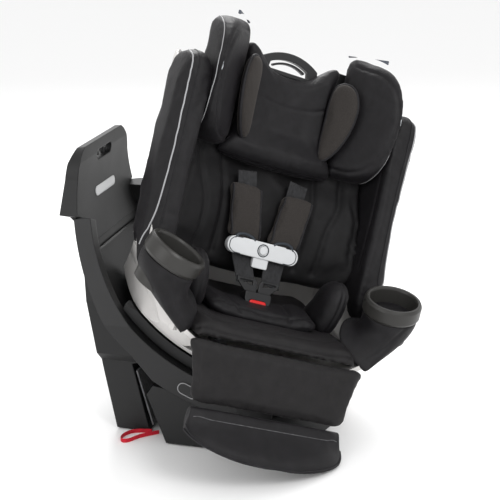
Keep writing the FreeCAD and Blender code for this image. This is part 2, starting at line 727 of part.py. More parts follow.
# ---------------------------------------------------------------- headrest
def head_wing():
    """Side wing that flares forwards and outwards from the head cushion."""
    side = [(28, 170), (-20, 152), ((-62, 156), (-96, 190)), ((-114, 230), (-118, 272)),
            ((-110, 330), (-84, 372)), ((-50, 396), (-8, 399)), (28, 392)]
    plan = [(100, -4), (186, -110), (197, -118), (204, -107), (197.5, -96), (195, -84), (194, -20),
            (186, 10), (150, 28), (148, 28), (148, 22.5), (104, 22.5)]
    wing = prism("YZ", side, 90, 210).common(prism("XY", plan, 100, 450))
    return wing.cut(head_cushion())


def head_cushion():
    """Centre pad of the headrest; its top dips in the middle below the handle."""
    side = [(22, 142), (-4, 139), (-20, 144), (-24, 160), (-14, 190), (-6, 250), (-2, 320),
            (6, 366), (22, 366)]
    front = [(-147, 130), (147, 130), (147, 366), (88, 366), (70, 352), ((0, 330), (-70, 352)),
             (-88, 366), (-147, 366)]
    return prism("YZ", side, -147, 147).common(prism("XZ", front, -60, 60))


def head_pillow():
    plan = [(72, -17), (126, -64), ((138, -68), (140, -56)), (108, -18)]
    return prism("XY", plan, 186, 334)


def head_shell():
    """Rear plate of the headrest, notched at the top for the handle."""
    outline = [(-147, 165), (147, 165), (147, 352), ((143, 362), (133, 365)), (90, 365), (74, 326),
               (-74, 326), (-90, 365), (-133, 365), ((-143, 362), (-147, 352))]
    return prism("XZ", outline, 23, 29)


def head_handle():
    """Low arch that the hand takes hold of to slide the headrest."""
    arch = prism("XZ", [(-66, 326.5), (66, 326.5), (61, 352), ((0, 371), (-61, 352))], 22.5, 34.5)
    hole = prism("XZ", [(-44, 334), (44, 334), (42, 346), ((0, 357), (-42, 346))], 0, 40)
    return arch.cut(hole)


def head_tab():
    """Flat tab that stands up behind the wing's top edge."""
    plan = [(110, 3), (162, -61), (165, -58.5), (113, 5.5)]
    return prism("XY", plan, 350, 399).cut(head_wing()).cut(head_cushion())


def headrest():
    pair("head_wing", head_wing(), SEAT_BACK)
    feature("head_cushion", head_cushion(), SEAT_BACK)
    pair("head_pillow", head_pillow(), SEAT_BACK)
    feature("headrest_shell", head_shell(), SEAT_BACK)
    feature("headrest_handle", head_handle(), SEAT_BACK)
    squeeze = [(-36, 343), ((0, 352.5), (36, 343)), (33, 339.5), ((0, 348.5), (-33, 339.5))]
    feature("headrest_trigger", prism("XZ", squeeze, 24.5, 32.5), SEAT_BACK)
    rails = [box((x - 8, 29, 168), (x + 8, 32, 335)) for x in (-90, 90)]
    feature("headrest_slide_rails", Part.makeCompound(rails), SEAT_BACK)
    tab = head_tab()
    feature("headrest_side_tabs", Part.makeCompound([tab, mirrored(tab)]), SEAT_BACK)


headrest()


# ---------------------------------------------------------------- leg rest
def leg_panel():
    outline = [(-174, -1), (-149, -110), (149, -110), (174, -1)]
    return prism("XZ", outline, 0, 14)


def leg_lip():
    """Scooped foot of the leg rest: a D-shaped shelf that closes up to the panel."""
    foot = wire("XY", [(-156, -296), ((0, -378), (156, -296)), (150, -284), (-150, -284)], -11)
    shelf = wire("XY", [(-156, -302), ((0, -378), (156, -302)), (150, -276), (-150, -276)], 4)
    neck = [(-300, 3.9), from_leg(0, -110.2), from_leg(14, -110.2), (-277, 3.9)]
    return Part.makeLoft([foot, shelf], True, True).fuse(prism("YZ", neck, -149, 149))


def leg_rest():
    feature("leg_rest_panel", leg_panel(), SEAT_LEG)
    feature("leg_rest_lip", leg_lip(), SEAT)
    frame = prism("XZ", [(-128, -14), (-118, -104), (118, -104), (128, -14)], 14, 19)
    feature("leg_rest_frame", frame, SEAT_LEG)
    slope = [(-230, 79), (-112, 48), (-112, 54), (-231, 85)]
    behind_frame = prism("YZ", [from_leg(19, 20), from_leg(19, -60), (0, -60), (0, 200)], -200, 200)
    bars = [prism("YZ", slope, x - 7, x + 7).common(behind_frame) for x in (-100, 100)]
    feature("leg_rest_bars", Part.makeCompound(bars), SEAT)


leg_rest()


# ---------------------------------------------------------------- write
def check_and_write():
    doc.recompute()
    for obj in doc.Objects:
        if "Invalid" in obj.State or "Error" in obj.State:
            raise RuntimeError("%s failed: %s" % (obj.Label, obj.State))
    for obj in parts:
        if obj.Shape.isNull() or not obj.Shape.isValid() or not obj.Shape.Solids:
            raise RuntimeError("%s has no valid solid" % obj.Label)
    os.makedirs("parts", exist_ok=True)
    for obj in parts:
        obj.Shape.exportStep("parts/%s.step" % obj.Label)
    print(len(parts), "sub-parts written")


check_and_write()
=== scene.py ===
"""Looks of the rotating convertible child car seat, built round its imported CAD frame."""
import json
import math

import bmesh
import bpy
import numpy as np
from mathutils import Matrix, Vector
from mathutils.bvhtree import BVHTree


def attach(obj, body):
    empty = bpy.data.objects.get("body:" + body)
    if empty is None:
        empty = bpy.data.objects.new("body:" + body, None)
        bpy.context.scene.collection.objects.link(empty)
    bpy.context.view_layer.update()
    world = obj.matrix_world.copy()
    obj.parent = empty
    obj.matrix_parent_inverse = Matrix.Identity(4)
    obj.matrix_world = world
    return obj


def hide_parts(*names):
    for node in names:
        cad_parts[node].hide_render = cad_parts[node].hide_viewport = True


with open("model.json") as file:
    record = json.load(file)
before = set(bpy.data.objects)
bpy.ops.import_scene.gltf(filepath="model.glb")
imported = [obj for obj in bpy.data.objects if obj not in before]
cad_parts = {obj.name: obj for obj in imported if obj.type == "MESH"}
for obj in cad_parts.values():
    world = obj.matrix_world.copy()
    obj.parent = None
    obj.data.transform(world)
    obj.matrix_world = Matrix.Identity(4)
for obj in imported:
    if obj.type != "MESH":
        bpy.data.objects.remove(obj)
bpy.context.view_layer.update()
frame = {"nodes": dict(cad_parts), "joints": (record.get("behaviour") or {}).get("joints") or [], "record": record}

# ---------------------------------------------------------------- frames (metres, degrees)
SIDES = ("left", "right")
SEAT_TURN = -55.8
BACK_LEAN = -28.0
BACK_ORIGIN = Vector((0, 0.030, 0.200))
LEG_ORIGIN = Vector((0, -0.226, 0.126))
LEG_LEAN = -31.36
CUP_CENTRE = Vector((0.221, -0.138, 0.238))

joints = {joint["name"]: joint for joint in frame["joints"]}
turn_axis = Vector(joints["seat_rotation"]["axis"])
pivot = Vector(joints["seat_rotation"]["pos_m"])


def turn(degrees, axis):
    return Matrix.Rotation(math.radians(degrees), 4, axis)


tilt = math.degrees(math.atan2(-turn_axis.y, turn_axis.z))
SEAT = Matrix.Translation(pivot) @ turn(tilt, "X") @ turn(SEAT_TURN, "Z")
# In the back frame x is across, -y comes out of the back rest and z runs up it.
BACK = SEAT @ Matrix.Translation(BACK_ORIGIN) @ turn(BACK_LEAN, "X")
# In the leg frame z runs up the leg panel and -y points away from the seat.
LEG = SEAT @ Matrix.Translation(LEG_ORIGIN) @ turn(LEG_LEAN, "X")
WORLD = Matrix.Identity(4)


# ---------------------------------------------------------------- materials
def material(name, colour, rough, metal=0.0):
    """A Principled material, its node tree and its shader."""
    mat = bpy.data.materials.new(name)
    mat.use_nodes = True
    shader = mat.node_tree.nodes["Principled BSDF"]
    shader.inputs["Base Color"].default_value = (*colour, 1)
    shader.inputs["Roughness"].default_value = rough
    shader.inputs["Metallic"].default_value = metal
    return mat, mat.node_tree, shader


def node(tree, kind, **values):
    made = tree.nodes.new(kind)
    for key, value in values.items():
        if key in made.inputs:
            made.inputs[key].default_value = value
        else:
            setattr(made, key, value)
    return made


def noise(tree, scale, detail=3.0, rough=0.5):
    coords = tree.nodes.get("Texture Coordinate") or tree.nodes.new("ShaderNodeTexCoord")
    made = node(tree, "ShaderNodeTexNoise", Scale=scale, Detail=detail, Roughness=rough)
    tree.links.new(coords.outputs["Object"], made.inputs["Vector"])
    return made.outputs["Fac"]


def wave(tree, scale, direction, distortion=0.6):
    coords = tree.nodes.get("Texture Coordinate") or tree.nodes.new("ShaderNodeTexCoord")
    made = node(tree, "ShaderNodeTexWave", Scale=scale, Distortion=distortion)
    made.bands_direction = direction
    tree.links.new(coords.outputs["Object"], made.inputs["Vector"])
    return made.outputs["Fac"]


def mix_colours(tree, shader, factor, dark, light):
    """Base colour that runs from dark to light with a texture."""
    ramp = tree.nodes.new("ShaderNodeValToRGB")
    ramp.color_ramp.elements[0].position = 0.32
    ramp.color_ramp.elements[1].position = 0.68
    ramp.color_ramp.elements[0].color = (*dark, 1)
    ramp.color_ramp.elements[1].color = (*light, 1)
    tree.links.new(factor, ramp.inputs["Fac"])
    tree.links.new(ramp.outputs["Color"], shader.inputs["Base Color"])


def vary_roughness(tree, shader, factor, low, high):
    span = node(tree, "ShaderNodeMapRange")
    span.inputs["To Min"].default_value = low
    span.inputs["To Max"].default_value = high
    tree.links.new(factor, span.inputs["Value"])
    tree.links.new(span.outputs["Result"], shader.inputs["Roughness"])


def bump(tree, shader, height, strength, distance):
    made = node(tree, "ShaderNodeBump", Strength=strength, Distance=distance)
    tree.links.new(height, made.inputs["Height"])
    last = shader.inputs["Normal"]
    if last.links:
        tree.links.new(last.links[0].from_socket, made.inputs["Normal"])
    tree.links.new(made.outputs["Normal"], last)


def product(tree, first, second):
    made = node(tree, "ShaderNodeMath", operation="MULTIPLY")
    tree.links.new(first, made.inputs[0])
    tree.links.new(second, made.inputs[1])
    return made.outputs["Value"]


def sheen(shader, weight, rough, tint):
    shader.inputs["Sheen Weight"].default_value = weight
    shader.inputs["Sheen Roughness"].default_value = rough
    shader.inputs["Sheen Tint"].default_value = (*tint, 1)


def cloth_material(name, dark, light, rough, weave=1400.0, depth=0.0002, sheen_weight=0.05):
    """Woven cloth: two crossed sets of threads, mottled colour and a soft sheen."""
    mat, tree, shader = material(name, light, rough)
    mix_colours(tree, shader, noise(tree, 55.0, 5.0, 0.65), dark, light)
    threads = product(tree, wave(tree, weave, "X"), wave(tree, weave, "DIAGONAL"))
    bump(tree, shader, threads, 0.35, depth)
    bump(tree, shader, noise(tree, 26.0, 4.0), 0.10, 0.0035)
    vary_roughness(tree, shader, noise(tree, 18.0), rough - 0.06, rough + 0.08)
    shader.inputs["Specular IOR Level"].default_value = 0.20
    sheen(shader, sheen_weight, 0.35, (0.62, 0.58, 0.62))
    return mat


def heather_material():
    """Short brown-grey pile with flecks of lighter thread."""
    mat, tree, shader = material("heather_cloth", (0.05, 0.045, 0.042), 0.85)
    flecks = noise(tree, 620.0, 6.0, 0.8)
    mix_colours(tree, shader, flecks, (0.010, 0.0087, 0.0083), (0.040, 0.035, 0.032))
    bump(tree, shader, noise(tree, 900.0, 4.0), 0.5, 0.0004)
    shader.inputs["Specular IOR Level"].default_value = 0.2
    sheen(shader, 0.10, 0.5, (0.75, 0.70, 0.66))
    return mat


def webbing_material(name, dark, light):
    """Strap with ribs along its weave."""
    mat, tree, shader = material(name, light, 0.62)
    mix_colours(tree, shader, noise(tree, 140.0, 4.0), dark, light)
    bump(tree, shader, wave(tree, 900.0, "DIAGONAL", 0.2), 0.5, 0.0003)
    shader.inputs["Specular IOR Level"].default_value = 0.25
    sheen(shader, 0.08, 0.4, (0.8, 0.8, 0.8))
    return mat


def plastic_material(name, colour, rough, grain=0.00012, scuff=0.06):
    """Moulded plastic: fine spark grain, faint cloudiness and softened edges."""
    mat, tree, shader = material(name, colour, rough)
    darker = tuple(0.86 * c for c in colour)
    mix_colours(tree, shader, noise(tree, 9.0, 4.0), darker, colour)
    vary_roughness(tree, shader, noise(tree, 14.0, 5.0, 0.6), rough - scuff, rough + scuff)
    bump(tree, shader, noise(tree, 1500.0, 2.0), 0.4, grain)
    shader.inputs["Specular IOR Level"].default_value = 0.32
    edge = node(tree, "ShaderNodeBevel", Radius=0.0030)
    edge.samples = 6
    first = shader.inputs["Normal"].links[0].from_node
    tree.links.new(edge.outputs["Normal"], first.inputs["Normal"])
    return mat


def steel_material():
    mat, tree, shader = material("turned_steel", (0.52, 0.53, 0.55), 0.32, 1.0)
    vary_roughness(tree, shader, noise(tree, 40.0, 5.0), 0.24, 0.42)
    bump(tree, shader, wave(tree, 700.0, "Z", 1.5), 0.15, 0.0001)
    return mat


MATERIALS = {
    "black_fabric": cloth_material("satin_cloth", (0.0045, 0.0041, 0.0048), (0.0090, 0.0083, 0.0096),
                                   0.48),
    "deep_fabric": cloth_material("deep_cloth", (0.0035, 0.0033, 0.0037), (0.0070, 0.0066, 0.0073),
                                  0.62, sheen_weight=0.03),
    "mesh_fabric": cloth_material("knit_cloth", (0.0060, 0.0054, 0.0058), (0.0110, 0.0100, 0.0106),
                                  0.46, weave=950.0, depth=0.0004),
    "heather_fabric": heather_material(),
    "webbing": webbing_material("harness_webbing", (0.012, 0.012, 0.013), (0.024, 0.024, 0.026)),
    "grey_webbing": webbing_material("anchor_webbing", (0.05, 0.05, 0.052), (0.12, 0.12, 0.125)),
    "red_webbing": webbing_material("red_webbing", (0.42, 0.006, 0.02), (0.62, 0.012, 0.03)),
    "charcoal_plastic": plastic_material("charcoal_plastic", (0.0085, 0.0086, 0.0090), 0.50),
    # The arm plastic is a lit copy of the charcoal plastic: its lighter colour is painted light, where the arms'
    # faces tip up toward the lamps.
    "arm_plastic": plastic_material("arm_plastic", (0.0130, 0.0130, 0.0136), 0.44),
    "shell_plastic": plastic_material("shell_plastic", (0.62, 0.605, 0.59), 0.36, 0.00006),
    "cup_plastic": plastic_material("cup_plastic", (0.030, 0.029, 0.027), 0.38, 0.00008),
    "white_plastic": plastic_material("white_plastic", (0.60, 0.61, 0.62), 0.28, 0.00003, 0.03),
    "black_plastic": plastic_material("black_plastic", (0.010, 0.010, 0.011), 0.36, 0.00006),
    "navy_plastic": plastic_material("navy_plastic", (0.022, 0.028, 0.036), 0.35, 0.00006),
    "red_plastic": plastic_material("red_plastic", (0.62, 0.012, 0.012), 0.26, 0.00003, 0.03),
    "tab_plastic": plastic_material("tab_plastic", (0.075, 0.085, 0.105), 0.55),
    "piping": plastic_material("piping_cord", (0.36, 0.36, 0.37), 0.45, 0.00003, 0.03),
    "dark_piping": cloth_material("dark_piping", (0.006, 0.006, 0.007), (0.012, 0.011, 0.013), 0.5),
    "label_cloth": cloth_material("label_cloth", (0.42, 0.44, 0.46), (0.60, 0.62, 0.64), 0.6),
    "rubber": plastic_material("foot_rubber", (0.018, 0.018, 0.018), 0.8),
    "steel": steel_material(),
}


def finish_piece(obj, look, body):
    """Material and body of a new piece."""
    obj.data.materials.clear()
    obj.data.materials.append(MATERIALS[look])
    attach(obj, body)
    return obj


# ---------------------------------------------------------------- mesh helpers
def smooth_loop(points, per_span=6):
    """Closed smooth curve through 2D points, as a list of 2D points."""
    count = len(points)
    found = []
    for k in range(count):
        p = [np.array(points[(k + j - 1) % count], float) for j in range(4)]
        for step in range(per_span):
            t = step / per_span
            found.append(0.5 * (2 * p[1] + (p[2] - p[0]) * t
                                + (2 * p[0] - 5 * p[1] + 4 * p[2] - p[3]) * t * t
                                + (3 * p[1] - p[0] - 3 * p[2] + p[3]) * t ** 3))
    return [(float(x), float(y)) for x, y in found]


def smooth_line(points, per_span=8):
    """Open smooth curve through 3D points."""
    p = [Vector(q) for q in points]
    p = [2 * p[0] - p[1]] + p + [2 * p[-1] - p[-2]]
    found = []
    for k in range(1, len(p) - 2):
        for step in range(per_span):
            t = step / per_span
            found.append(0.5 * (2 * p[k] + (p[k + 1] - p[k - 1]) * t
                                + (2 * p[k - 1] - 5 * p[k] + 4 * p[k + 1] - p[k + 2]) * t * t
                                + (3 * p[k] - p[k - 1] - 3 * p[k + 1] + p[k + 2]) * t ** 3))
    found.append(p[-2])
    return found


def mesh_object(name, verts, faces, place=WORLD):
    data = bpy.data.meshes.new(name)
    data.from_pydata([place @ Vector(v) for v in verts], [], faces)
    obj = bpy.data.objects.new(name, data)
    bpy.context.scene.collection.objects.link(obj)
    work = bmesh.new()
    work.from_mesh(data)
    bmesh.ops.recalc_face_normals(work, faces=work.faces)
    work.to_mesh(data)
    work.free()
    data.polygons.foreach_set("use_smooth", [True] * len(data.polygons))
    return obj


def rings_object(name, rings, place=WORLD):
    """Closed skin over rings of equally many points, with a pole at each end."""
    count = len(rings[0])
    verts = [v for ring in rings for v in ring]
    faces = []
    for r in range(len(rings) - 1):
        for k in range(count):
            a, b = r * count + k, r * count + (k + 1) % count
            faces.append((a, b, b + count, a + count))
    for ring_start, flip in ((0, True), ((len(rings) - 1) * count, False)):
        pole = len(verts)
        ring = verts[ring_start:ring_start + count]
        verts.append(tuple(sum(v[i] for v in ring) / count for i in range(3)))
        for k in range(count):
            a, b = ring_start + k, ring_start + (k + 1) % count
            faces.append((b, a, pole) if flip else (a, b, pole))
    return mesh_object(name, verts, faces, place)


PAD_PROFILE = [(0.30, 0.0), (0.10, 0.0), (0.035, 0.06), (0.010, 0.22), (0.0, 0.45), (0.006, 0.68),
               (0.026, 0.86), (0.075, 0.965), (0.16, 0.995), (0.30, 1.0)]


def pad_mesh(name, outline, low, high, shape, place, edge=0.02):
    """Rounded pad over a closed 2D outline between the depths low and high.

    shape() turns (u, v, depth) into a point of the local frame; edge is the roll's radius.
    """
    centre = np.mean(np.array(outline), axis=0)
    rings = []
    for inset, rise in PAD_PROFILE:
        ring = []
        for u, v in outline:
            out = np.array((u, v)) - centre
            reach = np.linalg.norm(out)
            if inset >= 0.3:
                at = centre + out * 0.35
            else:
                at = centre + out * (1 - min(inset / 0.075 * edge, 0.5 * reach) / reach)
            ring.append(tuple(shape(at[0], at[1], low + (high - low) * rise)))
        rings.append(ring)
    return rings_object(name, rings, place)


def apply_modifiers(obj):
    graph = bpy.context.evaluated_depsgraph_get()
    made = bpy.data.meshes.new_from_object(obj.evaluated_get(graph))
    obj.modifiers.clear()
    old = obj.data
    obj.data = made
    bpy.data.meshes.remove(old)
    made.polygons.foreach_set("use_smooth", [True] * len(made.polygons))


def coordinates(data):
    found = np.zeros(len(data.vertices) * 3)
    data.vertices.foreach_get("co", found)
    return found.reshape(-1, 3)


def subdivided(obj, levels=1):
    levels_modifier = obj.modifiers.new("fine", "SUBSURF")
    levels_modifier.levels = levels
    levels_modifier.render_levels = levels
    apply_modifiers(obj)
    return obj


PUFF_FRAMES = 20


def puffed(obj, voxel=0.006, pressure=4.0, cap=0.008, hold=None):
    """Blows the pad up as cloth; hold(point) is true where it is sewn down.

    The pad is remeshed evenly first, unless voxel is 0, which keeps a thin pad's own mesh.
    """
    if voxel:
        remesh = obj.modifiers.new("even", "REMESH")
        remesh.mode = "VOXEL"
        remesh.voxel_size = voxel
        apply_modifiers(obj)
    start = coordinates(obj.data)
    group = obj.vertex_groups.new(name="held")
    if hold:
        group.add([k for k, p in enumerate(start) if hold(Vector(p))], 1.0, "REPLACE")
    cloth = obj.modifiers.new("puff", "CLOTH")
    cloth.settings.use_pressure = True
    cloth.settings.uniform_pressure_force = pressure
    cloth.settings.effector_weights.gravity = 0
    cloth.settings.quality = 4
    cloth.settings.vertex_group_mass = "held"
    cloth.collision_settings.use_collision = False
    cloth.point_cache.frame_start = 1
    cloth.point_cache.frame_end = PUFF_FRAMES
    scene = bpy.context.scene
    for number in range(1, PUFF_FRAMES + 1):
        scene.frame_set(number)
    graph = bpy.context.evaluated_depsgraph_get()
    moved = coordinates(obj.evaluated_get(graph).to_mesh()) - start
    obj.modifiers.clear()
    moved -= moved.mean(axis=0)
    length = np.linalg.norm(moved, axis=1, keepdims=True)
    moved *= np.minimum(1, cap / np.maximum(length, 1e-9))
    obj.data.vertices.foreach_set("co", (start + moved).ravel())
    obj.data.update()
    scene.frame_set(1)
    return subdivided(obj)


def crease(obj, line, width=0.005, depth=0.003):
    """Presses a sewn channel into the pad along a line of points."""
    co = coordinates(obj.data)
    normals = np.zeros(len(obj.data.vertices) * 3)
    obj.data.vertices.foreach_get("normal", normals)
    nearest = np.full(len(co), 1e9)
    for a, b in zip(line, line[1:]):
        a, b = np.array(a), np.array(b)
        span = b - a
        t = np.clip(((co - a) @ span) / max(span @ span, 1e-12), 0, 1)[:, None]
        nearest = np.minimum(nearest, np.linalg.norm(co - (a + t * span), axis=1))
    co -= normals.reshape(-1, 3) * (depth * np.exp(-(nearest / width) ** 2))[:, None]
    obj.data.vertices.foreach_set("co", co.ravel())
    obj.data.update()


def on_surface(obj, points, place, direction, lift=0.0):
    """Smooth line through local points, dropped on the pad along a local direction."""
    tree = BVHTree.FromObject(obj, bpy.context.evaluated_depsgraph_get())
    aim = (place.to_3x3() @ Vector(direction)).normalized()
    found = []
    for point in smooth_line(points):
        world = place @ point
        hit, normal, _, _ = tree.ray_cast(world - aim * 0.15, aim)
        if hit is None:
            hit, normal, _, _ = tree.find_nearest(world)
        found.append(hit + normal * lift)
    return found


def snapped(obj, points, place, lift):
    """Smooth line through local points, moved to the nearest place on the pad."""
    tree = BVHTree.FromObject(obj, bpy.context.evaluated_depsgraph_get())
    found = []
    for point in smooth_line(points):
        hit, normal, _, _ = tree.find_nearest(place @ point)
        found.append(hit + normal * lift)
    return found


def tag(obj, name, shape, half_width, half_height, look, body):
    """Thin plain label sewn on a pad."""
    tree = BVHTree.FromObject(obj, bpy.context.evaluated_depsgraph_get())
    rings = []
    for row in range(7):
        b = half_height * (row / 3 - 1)
        top, under = [], []
        for k in range(7):
            hit, normal, _, _ = tree.find_nearest(BACK @ Vector(shape(half_width * (k / 3 - 1), b)))
            top.append(tuple(hit + normal * 0.0008))
            under.append(tuple(hit - normal * 0.0004))
        rings.append(top + under[::-1])
    finish_piece(rings_object(name, rings), look, body)


def tube(name, line, radius, look, body, closed=False):
    """Round cord along a line: piping or a thread of stitches."""
    curve = bpy.data.curves.new(name, "CURVE")
    curve.dimensions = "3D"
    curve.bevel_depth = radius
    curve.bevel_resolution = 3
    curve.use_fill_caps = not closed
    spline = curve.splines.new("POLY")
    spline.points.add(len(line) - 1)
    for k, p in enumerate(line):
        spline.points[k].co = (*p, 1)
    spline.use_cyclic_u = closed
    source = bpy.data.objects.new(name + "_line", curve)
    bpy.context.scene.collection.objects.link(source)
    bpy.context.view_layer.update()
    data = bpy.data.meshes.new_from_object(source)
    bpy.data.objects.remove(source)
    obj = bpy.data.objects.new(name, data)
    bpy.context.scene.collection.objects.link(obj)
    data.polygons.foreach_set("use_smooth", [True] * len(data.polygons))
    return finish_piece(obj, look, body)


def band(name, line, across, normals, width, thick, look, body, ribs=5):
    """Ribbed flat strap along a line; across and normals give its frame at each point."""
    half = width / 2
    section = []
    for k in range(ribs * 4 + 1):
        u = -half + width * k / (ribs * 4)
        section.append((u, thick / 2 + 0.00035 * math.cos(2 * math.pi * k / 4)))
    section += [(half + thick * 0.3, 0)] + [(u, -thick / 2) for u, _ in reversed(section)]
    section.append((-half - thick * 0.3, 0))
    rings = []
    for p, a, n in zip(line, across, normals):
        rings.append([tuple(p + a * u + n * v) for u, v in section])
    return finish_piece(rings_object(name, rings), look, body)


# ---------------------------------------------------------------- padded pieces
def sewn_pad(obj, node_names, look, body):
    """Look and body of a cover that stands for CAD soft solids, which it hides."""
    finish_piece(obj, look, body)
    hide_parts(*node_names)
    return obj


def side_sign(side):
    return 1 if side == "left" else -1


def torso_bolster(side):
    """Long side wing of the back rest; its cover wraps round the front of the shell's side."""
    s = side_sign(side)
    outline = smooth_loop([(-0.030, -0.066), (0.030, -0.060), (0.050, 0.0), (0.052, 0.150), (0.050, 0.262),
                           (0.020, 0.300), (-0.040, 0.309), (-0.076, 0.301), (-0.089, 0.277),
                           (-0.0905, 0.200), (-0.089, 0.100), (-0.089, 0.010), (-0.089, -0.045),
                           (-0.078, -0.086), (-0.052, -0.100)])
    inside = 0.199

    def shape(u, v, depth):
        outside = float(np.interp(u, (-0.006, 0.004, 0.060), (0.2500, 0.2365, 0.206)))
        return (s * (inside + depth * (outside - inside)), u, v)

    name = "bolster_cover_" + side
    obj = pad_mesh(name, outline, 0.0, 1.0, shape, BACK, 0.020)
    obj = puffed(obj, 0.006, 4.0, 0.004, hold=lambda p: abs((BACK.inverted() @ p).x) < 0.2)
    inner = [(s * 0.2, -0.060, 0.0), (s * 0.2, -0.066, 0.09), (s * 0.2, -0.068, 0.19),
             (s * 0.2, -0.062, 0.262), (s * 0.2, -0.030, 0.284), (s * 0.2, 0.01, 0.286)]
    crease(obj, on_surface(obj, inner, BACK, (s, 0, 0)), 0.004, 0.0022)
    sewn_pad(obj, ["torso_bolster_" + side], "black_fabric", "seat")
    edge = [(s * 0.243, -0.06, -0.052), (s * 0.243, -0.08, 0.01), (s * 0.243, -0.09, 0.13),
            (s * 0.243, -0.09, 0.24), (s * 0.243, -0.088, 0.285), (s * 0.243, -0.05, 0.310)]
    line = snapped(obj, edge, BACK, 0.0004)
    tube("bolster_piping_" + side, line, 0.0014, "piping", "seat")
    welt = [(p[0] - s * 0.014, p[1], p[2]) for p in edge]
    tube("bolster_welt_" + side, snapped(obj, welt, BACK, 0.0001), 0.0012, "dark_piping", "seat")


def back_pad():
    """Back rest cover: a concave panel with raised sides and sewn channels."""
    outline = smooth_loop([(-0.196, -0.040), (-0.10, -0.062), (0, -0.066), (0.10, -0.062), (0.196, -0.040),
                           (0.197, 0.10), (0.197, 0.22), (0.185, 0.293), (0.10, 0.300), (0, 0.300),
                           (-0.10, 0.300), (-0.185, 0.293), (-0.197, 0.22), (-0.197, 0.10)])

    def shape(u, v, depth):
        side = min(1.0, abs(u) / 0.197)
        rise = 0.050 * max(0.0, side - 0.45) ** 2 / 0.3
        behind_head = 0.034 * min(1.0, max(0.0, (v - 0.095) / 0.05))
        wing = 0.3 * max(0.0, side - 0.62) / 0.38
        return (u, -(depth + rise) + behind_head * (1 - wing), v)

    obj = pad_mesh("back_cover", outline, -0.052, 0.004, shape, BACK, 0.018)
    obj = puffed(obj, 0.007, 4.0, 0.006)
    for s in (1, -1):
        for x_low, x_high in ((0.088, 0.098), (0.128, 0.150)):
            points = [(s * x_low, 0, -0.03), (s * (x_low + 0.002), 0, 0.05), (s * x_high, 0, 0.12),
                      (s * (x_high + 0.004), 0, 0.27)]
            crease(obj, on_surface(obj, points, BACK, (0, 1, 0)), 0.006, 0.0045)
    sewn_pad(obj, ["back_cushion"], "deep_fabric", "seat")


def seat_pad():
    """Seat cover: runs from the back rest to the front edge and rolls over it."""
    half = 0.168
    rings = []
    side = [(0.070, 0.072), (0.072, 0.094), (-0.030, 0.097), (-0.085, 0.104), (-0.140, 0.1215),
            (-0.190, 0.1335), (-0.210, 0.1345), (-0.2195, 0.131), (-0.2215, 0.1275), (-0.2205, 0.125),
            (-0.205, 0.118), (-0.150, 0.100), (-0.085, 0.080), (-0.020, 0.060)]
    xs = [-half, -half + 0.006, -half + 0.016] + [half * k / 6 for k in range(-5, 6)]
    xs += [half - 0.016, half - 0.006, half]
    for x in xs:
        end = (abs(x) - (half - 0.016)) / 0.016
        shrink = 0.010 * max(0.0, end) ** 2
        crown = 0.004 * (1 - (x / half) ** 2)
        raised = 0.012 * max(0.0, abs(x) / half - 0.62) / 0.38
        ring = []
        for y, z in side:
            top = 1.0 if z > 0.09 and y > -0.215 else 0.0
            ring.append((x, y + shrink * (0.3 if y < -0.2 else 0), z - shrink + top * (crown + raised)))
        rings.append(ring)
    obj = rings_object("seat_cover", rings, SEAT)
    obj = puffed(subdivided(obj), 0.006, 3.0, 0.004)
    for points in ([(-0.15, -0.150, 0.13), (-0.10, -0.168, 0.13), (0, -0.176, 0.13),
                    (0.10, -0.168, 0.13), (0.15, -0.150, 0.13)],
                   [(-0.160, -0.205, 0.14), (0, -0.208, 0.14), (0.160, -0.205, 0.14)]):
        crease(obj, on_surface(obj, points, SEAT, (0, 0, -1)), 0.0045, 0.003)
    sewn_pad(obj, ["seat_cushion"], "mesh_fabric", "seat")


def insert_pad():
    """Thick inner cushion in front of the back rest."""
    outline = smooth_loop([(-0.117, -0.034), (-0.117, -0.095), (-0.108, -0.126), (-0.06, -0.137),
                           (0, -0.139), (0.06, -0.137), (0.108, -0.126), (0.117, -0.095),
                           (0.117, -0.034), (0.06, -0.031), (0, -0.031), (-0.06, -0.031)])

    def shape(u, v, depth):
        slope = 0.098 + (0.119 - 0.098) * min(1.0, max(0.0, (-v - 0.03) / 0.105))
        side = 0.010 * max(0.0, abs(u) / 0.117 - 0.5) / 0.5
        return (u, v, slope + depth + side)

    obj = pad_mesh("insert_cover", outline, 0.001, 0.021, shape, SEAT, 0.020)
    obj = puffed(obj, 0.005, 4.0, 0.005)
    for points in ([(-0.10, -0.110, 0.13), (0, -0.120, 0.14), (0.10, -0.110, 0.13)],
                   [(-0.065, -0.04, 0.13), (-0.06, -0.08, 0.13), (-0.052, -0.125, 0.14)],
                   [(0.065, -0.04, 0.13), (0.06, -0.08, 0.13), (0.052, -0.125, 0.14)]):
        crease(obj, on_surface(obj, points, SEAT, (0, 0, -1)), 0.004, 0.0025)
    sewn_pad(obj, ["insert_cushion"], "black_fabric", "seat")


def hip_cushion(side):
    """Rounded hip bolster with a seam over its crest."""
    s = side_sign(side)
    outline = smooth_loop([(-0.030, 0.100), (-0.030, 0.150), (-0.036, 0.188), (-0.062, 0.210),
                           (-0.092, 0.203), (-0.110, 0.176), (-0.116, 0.142), (-0.110, 0.116),
                           (-0.070, 0.104)])

    def shape(u, v, depth):
        lean = 0.14 * (v - 0.1)
        return (s * (depth + lean), u, v)

    name = "hip_cover_" + side
    obj = pad_mesh(name, outline, 0.112, 0.158, shape, SEAT, 0.026)
    obj = puffed(obj, 0.005, 4.0, 0.006)
    ridge = [(s * 0.136, -0.112, 0.115), (s * 0.140, -0.118, 0.150), (s * 0.145, -0.106, 0.185),
             (s * 0.150, -0.078, 0.208), (s * 0.150, -0.045, 0.200)]
    crease(obj, on_surface(obj, ridge, SEAT, (0, 1, -0.6)), 0.0035, 0.0022)
    sewn_pad(obj, ["hip_pad_" + side], "black_fabric", "seat")


